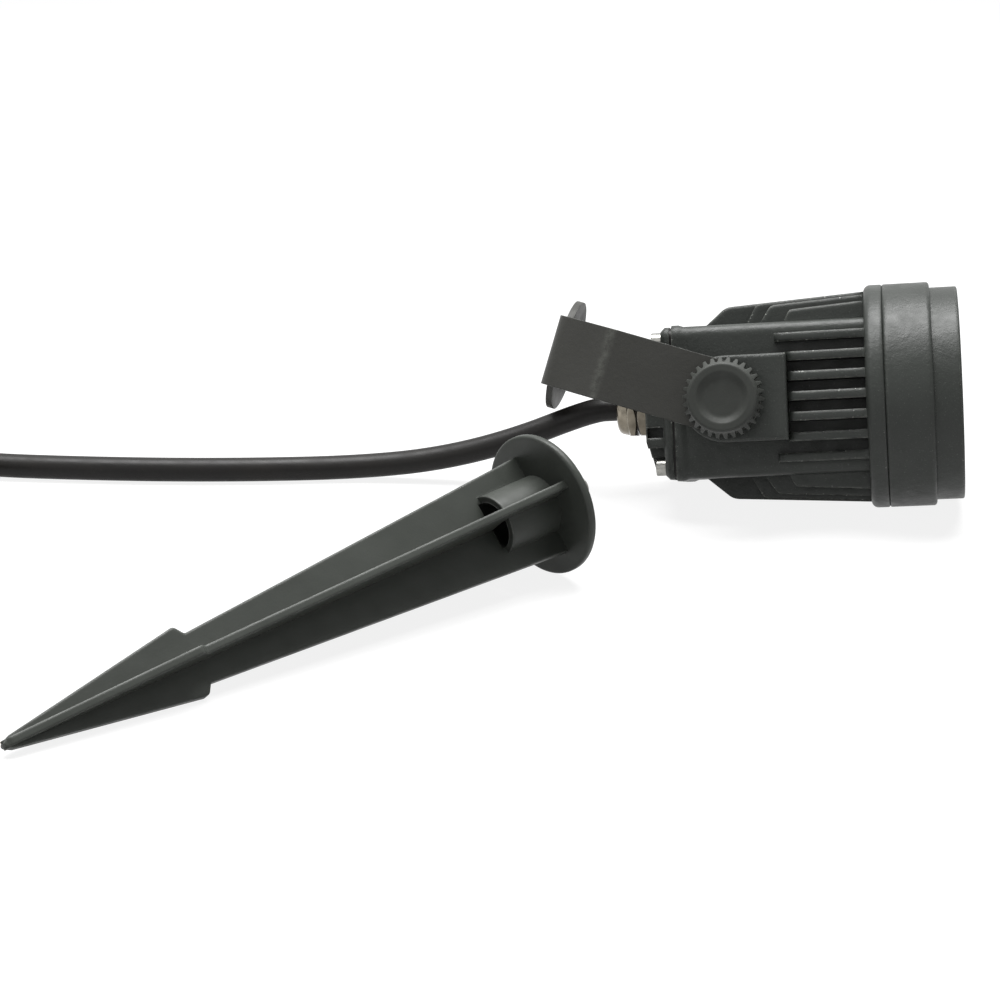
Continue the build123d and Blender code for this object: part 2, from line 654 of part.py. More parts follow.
def cover_gasket():
    """Flat seal between the box's rim and the cover."""
    half_y = BOX_Y - COVER_GASKET_INSET
    half_z = BOX_Z - COVER_GASKET_INSET
    sheet = block(COVER_FRONT, -BOX_BACK, half_y, half_z, BOX_CORNER)
    opening = block(COVER_FRONT - 1, 1 - BOX_BACK, BOX_Y - BOX_WALL, BOX_Z - BOX_WALL, BOX_CORNER)
    for y, z in corners(SCREW_Y, SCREW_Z):
        opening -= Pos(0, y, z) * tube(COVER_FRONT - 2, 2 - BOX_BACK, POST_RADIUS)
    sheet -= opening
    for y, z in corners(SCREW_Y, SCREW_Z):
        sheet -= Pos(0, y, z) * tube(COVER_FRONT - 1, 1 - BOX_BACK, SCREW_RADIUS + SCREW_CLEARANCE)
    return sheet


def cover_screws():
    """Four cylinder-head screws with hexagonal sockets."""
    top = COVER_FLOOR - SCREW_HEAD
    head = turned(
        [(COVER_FLOOR, 0), (COVER_FLOOR, SCREW_HEAD_RADIUS), (top, SCREW_HEAD_RADIUS), (top, 0)],
        [0, 0, SCREW_HEAD_ROUND, 0],
    )
    screw = head + tube(COVER_FLOOR - 0.5, COVER_FLOOR + SCREW_LENGTH, SCREW_RADIUS)
    socket = Plane.YZ.offset(top - 1) * RegularPolygon(SCREW_SOCKET_FLATS / math.sqrt(3), 6)
    screw -= extrude(socket, 1 + SCREW_SOCKET_DEPTH)
    return group([Pos(0, y, z) * screw for y, z in corners(SCREW_Y, SCREW_Z)])


# ---- gland ----
def gland_body():
    """Hexagon, thread into the cover and neck for the nut."""
    body = hexagon(GLAND_HEX_END, COVER_END, GLAND_FLATS)
    body += tube(COVER_END - 1, COVER_END + GLAND_THREAD_LENGTH, GLAND_THREAD_RADIUS)
    neck_end = GLAND_HEX_END - GLAND_NECK_LENGTH
    body += tube(neck_end, GLAND_HEX_END + 1, GLAND_NECK_RADIUS)
    body -= tube(neck_end - 1, COVER_END + GLAND_THREAD_LENGTH + 1, GLAND_BORE)
    body -= tube(neck_end - 1, seal_back() + GLAND_SEAL_LENGTH, CORD_RADIUS + GLAND_SEAL_WALL + GLAND_GAP)
    return body


def seal_back():
    """Outer end of the gland's seal."""
    return NUT_END + GLAND_SEAL_INSET


def seal_lip():
    """Radius of the seal's thin outer end."""
    return CORD_RADIUS + GLAND_SEAL_WALL / 4


def gland_ring():
    """Flat ring that seals the hexagon on the cover."""
    inner = GLAND_THREAD_RADIUS + GLAND_GAP
    return tube(COVER_END, COVER_END + GLAND_RING_THICK, inner + GLAND_RING_WIDTH, inner)


def gland_seal():
    """Rubber sleeve that grips the cord."""
    back = seal_back()
    outer = CORD_RADIUS + GLAND_SEAL_WALL
    front = back + GLAND_SEAL_LENGTH
    points = [(front, CORD_RADIUS), (front, outer), (back + GLAND_SEAL_TAPER, outer)]
    points += [(back, seal_lip()), (back, CORD_RADIUS)]
    return turned(points)


def gland_nut():
    """Domed hexagon nut over the neck."""
    nut = hexagon(NUT_HEX_END, NUT_START, GLAND_FLATS)
    root = GLAND_FLATS / 2 - NUT_ROOT_INSET
    dome = [(NUT_HEX_END + 0.5, 0), (NUT_HEX_END + 0.5, root), (NUT_HEX_END, root)]
    dome += [(NUT_END, NUT_DOME_RADIUS), (NUT_END, 0)]
    nut += turned(dome, [0, 0, 0, NUT_DOME_ROUND, 0])
    mouth = CORD_RADIUS + NUT_MOUTH_GAP
    neck_end = GLAND_HEX_END - GLAND_NECK_LENGTH - NUT_SPARE
    throat = CORD_RADIUS + GLAND_SEAL_WALL + 2 * GLAND_GAP
    nut -= tube(neck_end, NUT_START + 1, GLAND_NECK_RADIUS + GLAND_GAP)
    seal_end = seal_back() - GLAND_GAP
    cone = [(neck_end + GLAND_GAP, 0), (neck_end + GLAND_GAP, throat), (neck_end, throat)]
    cone += [(seal_end, seal_lip() + 2 * GLAND_GAP), (seal_end, mouth)]
    cone += [(NUT_END - 1, mouth), (NUT_END - 1, 0)]
    nut -= turned(cone)
    return nut


# ---- bracket ----
def bracket_section():
    """Strip seen edge on: two arms that lean in to a narrower base."""
    back = -STRIP_WIDTH
    half = [(back, ARM_OUTER), (KNEE_AT, ARM_OUTER), (BASE_AT, BASE_HALF_WIDTH)]
    other = [(x, -y) for x, y in reversed(half)]
    radii = [0, KNEE_ROUND, BASE_ROUND, BASE_ROUND, KNEE_ROUND, 0]
    outer = make_face(FilletPolyline(*half, *other, radius=radii, close=True).edges())
    inner = offset(outer, amount=-STRIP_THICK, kind=Kind.INTERSECTION)
    inner += Pos(back, 0) * Rectangle(2 * STRIP_WIDTH, 2 * ARM_INNER)
    return outer - inner


def bracket():
    """Bent strip with rounded arm ends and a round base."""
    half = STRIP_WIDTH / 2
    strip = extrude(bracket_section(), half, both=True)
    side = Circle(half) + Pos(BASE_AT, 0) * Rectangle(2 * BASE_AT, STRIP_WIDTH)
    strip &= extrude(Plane.XZ * side, 2 * ARM_OUTER, both=True)
    strip += tube(BASE_AT - STRIP_THICK, BASE_AT, BASE_DISC_RADIUS)
    strip -= tube(0, BASE_AT + 1, BASE_HOLE_RADIUS)
    strip -= extrude(Plane.XZ * Circle(PIVOT_HOLE_RADIUS), 2 * ARM_OUTER, both=True)
    return strip


# ---- knobs: drawn outwards along +X from the beam axis ----
def knob_outline():
    """Toothed outline by formula: a root, a flank and a tip for each tooth."""
    root = KNOB_RADIUS - TOOTH_DEPTH
    step = 360.0 / KNOB_TEETH
    corner_list = []
    for tooth in range(KNOB_TEETH):
        for share, radius in ((0.0, root), (0.3, root), (0.5, KNOB_RADIUS), (0.8, KNOB_RADIUS)):
            angle = math.radians((tooth + share) * step)
            corner_list.append((radius * math.cos(angle), radius * math.sin(angle)))
    return make_face(Polyline(*corner_list, close=True).edges())


def knob():
    """Toothed clamping knob with a dished face."""
    body = extrude(Plane.YZ.offset(WASHER_OUTER) * knob_outline(), KNOB_LENGTH)
    shoulder = WASHER_OUTER + KNOB_RIM
    root = KNOB_RADIUS - TOOTH_DEPTH
    floor = KNOB_OUTER - DISH_DEPTH
    profile = [(WASHER_OUTER, 0), (WASHER_OUTER, KNOB_RADIUS), (shoulder, KNOB_RADIUS)]
    profile += [(shoulder + KNOB_SHOULDER, root), (KNOB_OUTER, KNOB_FACE_RADIUS), (KNOB_OUTER, DISH_RADIUS)]
    profile += [(floor, DISH_RADIUS - DISH_SLOPE), (floor, 0)]
    body &= turned(profile, [0, *KNOB_ROUNDS, KNOB_ROUND, *DISH_ROUNDS, 0])
    body -= tube(WASHER_OUTER - 1, WASHER_OUTER + STUD_EMBED, STUD_RADIUS)
    return body


def knob_stud():
    """Threaded stud moulded into its knob."""
    tip = PAD_FACE - STUD_GRIP
    end = WASHER_OUTER + STUD_EMBED
    points = [(tip, 0), (tip, STUD_RADIUS - STUD_CHAMFER), (tip + STUD_CHAMFER, STUD_RADIUS)]
    return turned([*points, (end, STUD_RADIUS), (end, 0)])


def knob_washer():
    """Flat washer between knob and arm."""
    return tube(ARM_OUTER + WASHER_SEAT, WASHER_OUTER, WASHER_RADIUS, STUD_RADIUS + WASHER_HOLE_GAP)


# ---- spike: drawn with its tip along +X from the disc's face ----
def rib_points():
    """Corners of one rib's outline from the disc to the tip, as (distance, radius)."""
    return [
        (0.0, RIB_RADIUS),
        (BARB_AT - BARB_SLANT, SHANK_RADIUS),
        (BARB_AT, BARB_RADIUS),
        (SPIKE_LENGTH - TIP_LENGTH, TIP_RADIUS),
    ]


def spike():
    """Disc, hollow boss and four barbed ribs."""
    upper = rib_points()
    lower = [(x, -r) for x, r in reversed(upper)]
    root = [(-1.0, -RIB_RADIUS), (-1.0, RIB_RADIUS)]
    side = [0, SHANK_ROUND, BARB_ROUND, BARB_END_ROUND]
    radii = [*side, TIP_ROUND, *reversed(side), 0, 0]
    points = [*upper, (SPIKE_LENGTH, 0.0), *lower, *root]
    outline = upright(points, radii)
    blade = extrude(outline, RIB_THICK / 2, both=True)
    body = blade + Rot(90, 0, 0) * blade
    body += tube(0, BOSS_LENGTH, BOSS_RADIUS)
    body -= tube(0, BOSS_LENGTH + 1, BOSS_RADIUS - BOSS_WALL)
    rim = [(-SPIKE_DISC_THICK, 0), (-SPIKE_DISC_THICK, SPIKE_DISC_RADIUS), (0, SPIKE_DISC_RADIUS), (0, 0)]
    body += turned(rim, [0, SPIKE_DISC_ROUND, SPIKE_DISC_ROUND, 0])
    body -= tube(-SPIKE_DISC_THICK - 1, 1, BOLT_RADIUS + BOLT_GAP)
    return body


def spike_bolt():
    """Hexagon bolt seated inside the boss, pointing back through the disc."""
    return hexagon(0, BOLT_HEAD, BOLT_FLATS) + tube(-SPIKE_DISC_THICK - BOLT_REACH, 0.5, BOLT_RADIUS)


def spike_washer():
    """Washer behind the disc."""
    back = -SPIKE_DISC_THICK - BOLT_WASHER_THICK
    return tube(back, -SPIKE_DISC_THICK, BOLT_WASHER_RADIUS, BOLT_RADIUS + BOLT_GAP)


def spike_nut():
    """Nut that draws the bolt tight."""
    front = -SPIKE_DISC_THICK - BOLT_WASHER_THICK
    nut = hexagon(front - NUT_HEIGHT, front, BOLT_FLATS)
    return nut - tube(front - NUT_HEIGHT - 1, front + 1, BOLT_RADIUS + STUD_GAP)


# ---- cord ----
def cord_tube(points):
    """Tube along straight runs joined by the largest arcs that the runs allow."""
    vectors = [Vector(*point) for point in points]
    runs = [(b - a).length for a, b in zip(vectors, vectors[1:])]
    radii = []
    for number in range(1, len(vectors) - 1):
        before = vectors[number] - vectors[number - 1]
        after = vectors[number + 1] - vectors[number]
        half_turn = math.radians(before.get_angle(after)) / 2
        shorter = min(runs[number - 1], runs[number])
        radii.append(CORD_ARC_SHARE * shorter / math.tan(half_turn))
    print("cord runs", [round(run, 1) for run in runs])
    print("cord radii", [round(radius) for radius in radii])
    path = FilletPolyline(*points, radius=radii)
    start = Plane(origin=path @ 0, z_dir=path % 0)
    solid = sweep(start * Circle(CORD_RADIUS), path=path)
    expected = math.pi * CORD_RADIUS ** 2 * path.length
    print("cord length", round(path.length, 1), "volume share", round(solid.volume / expected, 4))
    return solid


def coil_places(start, heading):
    """Where each half turn of the coil begins, and the way it heads there."""
    across = Vector(0, 0, 1).cross(heading)
    pitch = CORD_DIAMETER + COIL_GAP
    down = [COIL_RADIUS - pitch / 2 * number for number in range(COIL_HALF_TURNS_DOWN + 1)]
    up = [down[-1] + pitch / 2 * (number + 1) for number in range(COIL_HALF_TURNS_UP)]
    place = start + heading * COIL_LEAD
    places = [place]
    way = 1
    for number, radius in enumerate(down + up):
        climb = pitch if number == COIL_HALF_TURNS_DOWN else 0
        place = place + across * (2 * radius * way) + Vector(0, 0, climb)
        places.append(place)
        way = -way
    return places


def coil_path(start, heading):
    """Straight lead, half turns in two layers, straight tail."""
    places = coil_places(start, heading)
    edges = [Line(start, places[0])]
    way = heading
    for a, b in zip(places, places[1:]):
        middle = (a + b) / 2 + way * ((b - a).length / 2)
        edges.append(ThreePointArc(a, middle, b))
        way = way * -1
    edges.append(Line(places[-1], places[-1] + way * COIL_TAIL))
    return Wire(edges), places


def coil_gap(path):
    """Least gap between stretches of the coil that aren't next to each other."""
    count = 1200
    step = path.length / count
    spots = [path @ (number / count) for number in range(count + 1)]
    skip = int(3 * CORD_DIAMETER / step)
    least = math.inf
    for a in range(len(spots)):
        for b in range(a + skip, len(spots)):
            least = min(least, (spots[a] - spots[b]).length)
    return least - CORD_DIAMETER


def cord_coil(path):
    """The length put away, wound in two layers."""
    start = Plane(origin=path @ 0, z_dir=path % 0)
    return sweep(start * Circle(CORD_RADIUS), path=path)


def cord_tie(places, heading):
    """Band round the bundle, on the side away from where the cord comes in."""
    across = Vector(0, 0, 1).cross(heading)
    outside = places[1]
    inside = places[3]
    span = (outside - inside).length + CORD_DIAMETER + 2 * TIE_GAP
    height = CORD_DIAMETER + 2 * TIE_GAP + CORD_DIAMETER + COIL_GAP
    middle = (outside + inside) / 2 + Vector(0, 0, (CORD_DIAMETER + COIL_GAP) / 2)
    plane = Plane(origin=middle - heading * (TIE_WIDTH / 2), x_dir=across, z_dir=heading)
    corner = CORD_RADIUS + TIE_GAP
    band = RectangleRounded(span + 2 * TIE_THICK, height + 2 * TIE_THICK, corner + TIE_THICK)
    band -= RectangleRounded(span, height, corner)
    return extrude(plane * band, TIE_WIDTH)


def core_spots(end, heading):
    """Start of each stripped core at the cord's end."""
    side = Vector(0, 0, 1).cross(heading)
    spots = []
    for number in range(3):
        angle = math.radians(90 + 120 * number)
        reach = CORE_RADIUS + CORE_SPREAD
        spots.append(end + side * (reach * math.cos(angle)) + Vector(0, 0, reach * math.sin(angle)))
    return spots


def straight_bar(start, heading, radius, length):
    """Round bar from a point along a heading."""
    return extrude(Plane(origin=start, z_dir=heading) * Circle(radius), length)


def cord_cores(end, heading):
    """Three stripped cores."""
    return group([straight_bar(spot, heading, CORE_RADIUS, CORE_LENGTH) for spot in core_spots(end, heading)])


def core_ferrules(end, heading):
    """Crimped sleeve on each core, with its plastic collar."""
    sleeves = []
    for spot in core_spots(end + heading * CORE_LENGTH, heading):
        collar = straight_bar(spot, heading, *FERRULE_COLLAR)
        pin = straight_bar(spot, heading, FERRULE_PIN[0], FERRULE_COLLAR[1] + FERRULE_PIN[1])
        sleeves.append(collar + pin)
    return group(sleeves)


# ---- how the head rests ----
def reach_down(y, z):
    """How far a point of the head's section reaches down once the head is rolled."""
    roll = math.radians(HEAD_ROLL)
    return y * math.sin(roll) + z * math.cos(roll)


def head_pitch():
    """Nose-up angle with the flange and the first thing behind it on the table."""
    crest = FLANGE_BACK + FLANGE_ROUND
    corner = reach_down(BOX_Y - BOX_CORNER, BOX_Z - BOX_CORNER) + BOX_CORNER
    touching = [(COVER_FRONT - COVER_RIM, corner), (-BOX_BACK, corner + RIM_PROUD)]
    for number, (start, rise) in enumerate(zip(TOP_FIN_STARTS, TOP_FIN_RISES)):
        x = start + rise
        offset = number * TOP_FIN_PITCH
        touching.append((x, reach_down(offset + TOP_FIN_THICK / 2, fin_reach(x, offset))))
    return min(math.atan2(FLANGE_RADIUS - down, crest - x) for x, down in touching)


def spike_tilt():
    """Tip-down angle with the disc and the first point of the lower rib on the table."""
    turn = math.radians(SPIKE_ROLL)
    angles = []
    for x, radius in rib_points()[2:]:
        down = radius * math.cos(turn) + RIB_THICK / 2 * math.sin(turn)
        angles.append(math.atan2(SPIKE_DISC_RADIUS - down, x + SPIKE_DISC_ROUND))
    return min(angles)


PITCH = head_pitch()
TILT = spike_tilt()
HEAD_HEIGHT = FLANGE_RADIUS * math.cos(PITCH) - (FLANGE_BACK + FLANGE_ROUND) * math.sin(PITCH)
SPIKE_HEIGHT = SPIKE_DISC_RADIUS * math.cos(TILT) - SPIKE_DISC_ROUND * math.sin(TILT)
HEAD_PLACE = Pos(0, 0, HEAD_HEIGHT) * Rot(0, -math.degrees(PITCH), 0) * Rot(-HEAD_ROLL, 0, 0)
BRACKET_PLACE = HEAD_PLACE * Rot(0, BRACKET_ANGLE, 0) * Rot(0, 0, 180)
NEAR_PLACE = HEAD_PLACE * Rot(0, 0, -90)
FAR_PLACE = HEAD_PLACE * Rot(0, 0, 90)
SPIKE_TURN = Rot(0, 0, 180 + SPIKE_HEADING) * Rot(0, math.degrees(TILT), 0) * Rot(SPIKE_ROLL, 0, 0)
SPIKE_PLACE = Pos(*SPIKE_SPOT, SPIKE_HEIGHT) * SPIKE_TURN


def head_point(x, y=0.0, z=0.0):
    """Place of a point of the head once it is set down."""
    return (HEAD_PLACE * Pos(x, y, z)).position


def head_pieces():
    """Everything that belongs to the head itself."""
    return {
        "housing": housing(),
        "bezel_ring": bezel_ring(),
        "front_glass": front_glass(),
        "glass_gasket": glass_gasket(),
        "flange_seal": flange_seal(),
        "reflector": reflector(),
        "led_cob": led_cob(),
        "led_board": light_disc(BOARD_BACK, BOARD_FACE, BOARD_RADIUS),
        "thermal_pad": light_disc(CHAMBER_X, BOARD_BACK, THERMAL_PAD_RADIUS),
        "board_screws": board_screws(),
        "driver_board": driver_board(),
        "driver_parts": driver_parts(),
        "inner_leads": inner_leads(),
        "rear_cover": rear_cover(),
        "cover_gasket": cover_gasket(),
        "cover_screws": cover_screws(),
        "gland_body": gland_body(),
        "gland_ring": gland_ring(),
        "gland_seal": gland_seal(),
        "gland_nut": gland_nut(),
    }


def cord_pieces():
    """The cord from the gland to its stripped end."""
    begin = head_point(-CORD_START)
    turn = head_point(-CORD_EXIT_RUN)
    route = [Vector(x, y, CORD_RADIUS + lift) for x, y, lift in CORD_ROUTE]
    heading = Vector(route[-1].X - route[-2].X, route[-1].Y - route[-2].Y, 0).normalized()
    start = route[-1]
    path, places = coil_path(start, heading)
    print("coil length", round(path.length, 1), "least gap", round(coil_gap(path), 3))
    end = path @ 1
    return {
        "power_cord": cord_tube([begin, turn, *route]),
        "cord_coil": cord_coil(path),
        "cord_tie": cord_tie(places, heading),
        "cord_cores": cord_cores(end, heading),
        "core_ferrules": core_ferrules(end, heading),
    }


def all_pieces():
    """Every piece, set down where it rests, with the knob axis above the origin."""
    pieces = {name: HEAD_PLACE * shape for name, shape in head_pieces().items()}
    pieces["bracket"] = BRACKET_PLACE * bracket()
    for side, place in (("near", NEAR_PLACE), ("far", FAR_PLACE)):
        pieces[f"knob_{side}"] = place * knob()
        pieces[f"knob_stud_{side}"] = place * knob_stud()
        pieces[f"knob_washer_{side}"] = place * knob_washer()
    spike_shapes = {
        "spike": spike(),
        "spike_bolt": spike_bolt(),
        "spike_washer": spike_washer(),
        "spike_nut": spike_nut(),
    }
    pieces.update({name: SPIKE_PLACE * shape for name, shape in spike_shapes.items()})
    pieces.update(cord_pieces())
    return pieces


def main():
    """Centre the part on its footprint and write every piece."""
    pieces = all_pieces()
    own = [piece.bounding_box() for name, piece in pieces.items() if name not in CORD_NODES]
    middle_x = (min(box.min.X for box in own) + max(box.max.X for box in own)) / 2
    middle_y = (min(box.min.Y for box in own) + max(box.max.Y for box in own)) / 2
    bottom = min(box.min.Z for box in own)
    shift = Pos(-middle_x, -middle_y, -bottom)
    os.makedirs("parts", exist_ok=True)
    for name, piece in pieces.items():
        export_step(shift * piece, f"parts/{name}.step")
    print("shift", [round(v, 4) for v in tuple(shift.position)])
    print("pitch", round(math.degrees(PITCH), 3), "tilt", round(math.degrees(TILT), 3))
    pivot = (shift * HEAD_PLACE).position
    outward = (NEAR_PLACE * Pos(1, 0, 0)).position - NEAR_PLACE.position
    print("pivot", [round(v, 4) for v in tuple(pivot)], "outward", tuple(outward))


main()
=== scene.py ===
import json
import math

import bpy
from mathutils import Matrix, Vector


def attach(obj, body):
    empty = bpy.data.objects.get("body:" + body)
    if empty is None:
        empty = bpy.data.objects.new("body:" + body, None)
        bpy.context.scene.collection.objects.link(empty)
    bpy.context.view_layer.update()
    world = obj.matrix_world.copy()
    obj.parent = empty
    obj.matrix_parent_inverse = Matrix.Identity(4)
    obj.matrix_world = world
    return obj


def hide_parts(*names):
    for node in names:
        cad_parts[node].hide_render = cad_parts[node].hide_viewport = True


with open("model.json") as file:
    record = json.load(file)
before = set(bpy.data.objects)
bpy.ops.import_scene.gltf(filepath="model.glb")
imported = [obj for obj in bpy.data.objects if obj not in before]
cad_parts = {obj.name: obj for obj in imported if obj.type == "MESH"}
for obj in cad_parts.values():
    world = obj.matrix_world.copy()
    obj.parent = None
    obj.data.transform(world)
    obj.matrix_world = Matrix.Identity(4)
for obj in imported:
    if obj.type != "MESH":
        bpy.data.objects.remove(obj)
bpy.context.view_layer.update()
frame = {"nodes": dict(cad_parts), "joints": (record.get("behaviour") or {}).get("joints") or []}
nodes = frame["nodes"]

# Everything is in metres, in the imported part's own frame, unless a comment says otherwise.
# The landmark is the axis of the clamping knobs: the pivot on it, and the table below the pivot.
pivot = Vector(next(j["pos_m"] for j in frame["joints"] if j["name"] == "bracket_tilt"))
foot = Vector((pivot.x, pivot.y, 0))

# The bracket as it lies: the way from the pivot to its base, and how far along that its arms bend.
BRACKET_AXIS = Vector((-0.971504, 0.106248, 0.211874))
KNEE_PLACE = 0.0367


def add_object(name, data):
    """A new object in the scene for a mesh, curve, lamp or camera."""
    made = bpy.data.objects.new(name, data)
    bpy.context.scene.collection.objects.link(made)
    return made


def point_at(obj, place, aim):
    """Puts a lamp or the camera at a place, turned towards another."""
    obj.location = place
    obj.rotation_euler = (Vector(aim) - Vector(place)).to_track_quat("-Z", "Y").to_euler()


# ---------------------------------------------------------------- camera
CAMERA_ANGLE = 24.35  # degrees, across the square frame
CAMERA_FROM_FOOT = Vector((0.030245, -0.668080, 0.235050))
CAMERA_AIM_FROM_FOOT = Vector((-0.068362, -0.016094, 0))


def make_camera():
    data = bpy.data.cameras.new("camera")
    data.sensor_width = 36
    data.angle = math.radians(CAMERA_ANGLE)
    data.clip_start = 0.01
    data.clip_end = 50
    camera = add_object("camera", data)
    point_at(camera, foot + CAMERA_FROM_FOOT, foot + CAMERA_AIM_FROM_FOOT)
    bpy.context.scene.camera = camera


make_camera()

# ---------------------------------------------------------------- cord
CORD_RADIUS = 0.0037
MM_PER_M = 1000
# The free stretch, in millimetres: x and y from below the knob axis, and how far it is lifted.
CORD_ROUTE = (
    (-26.48, 0.0, 22.57),
    (-34.54, 0.0, 21.80),
    (-42.40, 0.0, 21.04),
    (-67.0, -0.2, 9.9),
    (-91.0, -1.2, 3.0),
    (-115.5, -3.0, 0.0),
    (-142.0, -9.3, 0.0),
    (-170.0, -13.9, 0.0),
    (-198.0, -16.6, 0.0),
    (-225.0, -18.3, 0.1),
    (-244.0, -18.9, 1.0),
    (-260.0, -19.0, 1.0),
)
# The put-away coil, in millimetres.
COIL_LEAD = 7.5   # straight run before its first half turn
COIL_TAIL = 14.0  # straight run after its last
COIL_PITCH = 8.0  # rise from one layer to the next
COIL_TURNS = ((43, 0), (39, 0), (35, 0), (31, 1), (35, 0), (39, 0))  # half turns: radius, climbs
COIL_STEPS = 8    # control points in a half turn


def route_points():
    """Control points of the free stretch, in millimetres from below the knob axis."""
    return [Vector((x, y, CORD_RADIUS * MM_PER_M + lift)) for x, y, lift in CORD_ROUTE]


def coil_points(start, heading):
    """More control points for the half turns of the coil, wound in two layers."""
    across = Vector((0, 0, 1)).cross(heading)
    place = start + heading * COIL_LEAD
    points = []
    way = 1
    for radius, climbs in COIL_TURNS:
        climb = COIL_PITCH * climbs
        # The spline cuts inside its control points, so they stand a little outside the turn.
        reach = radius / math.cos(math.pi / COIL_STEPS / 2)
        for step in range(COIL_STEPS):
            angle = math.pi * (step + 0.5) / COIL_STEPS
            along = heading * way * math.sin(angle) * reach
            aside = across * way * (radius - math.cos(angle) * reach)
            rise = Vector((0, 0, climb * (step + 0.5) / COIL_STEPS))
            points.append(place + along + aside + rise)
        place = place + across * way * 2 * radius + Vector((0, 0, climb))
        way = -way
    points.append(place + heading * way * COIL_TAIL)
    return points


def make_cord():
    """The whole cord as one smooth curve, in place of the two CAD nodes that it is cut into."""
    route = route_points()
    heading = (route[-1] - route[-2]).normalized()
    points = route + coil_points(route[-1], heading)
    curve = bpy.data.curves.new("power_cable", "CURVE")
    curve.dimensions = "3D"
    curve.bevel_depth = 1.0  # each point carries the real radius, so that the box counts it too
    curve.bevel_resolution = 10
    curve.resolution_u = 14
    curve.use_fill_caps = True
    spline = curve.splines.new("NURBS")
    spline.points.add(len(points) - 1)
    for point, place in zip(spline.points, points):
        point.co = (*(foot + place / MM_PER_M), 1)
        point.radius = CORD_RADIUS
    spline.order_u = 3
    spline.use_endpoint_u = True
    cable = add_object("power_cable", curve)
    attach(cable, "head")
    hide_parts("power_cord", "cord_coil")
    return cable


cable = make_cord()

# ---------------------------------------------------------------- procedural materials
BEVEL_SAMPLES = 8
OPEN_SAMPLES = 6
OPEN_REACH = 1.5          # in bevel radii: how far an outer edge must be clear of other surfaces
OPEN_SPAN = (0.72, 0.92)  # how open a spot is where the rounding begins, and where it is full
PATCH_SPAN = (0.3, 0.7)   # the part of a noise's range that its soft patches use
# colour of the painted shade in corners and crevices
PAINTED_SHADE_COLOUR = (0.012, 0.010, 0.008, 1)


def srgb(r, g, b):
    """Linear colour from 0-255 display values."""
    def linear(v):
        v /= 255
        return v / 12.92 if v <= 0.04045 else ((v + 0.055) / 1.055) ** 2.4
    return (linear(r), linear(g), linear(b), 1)


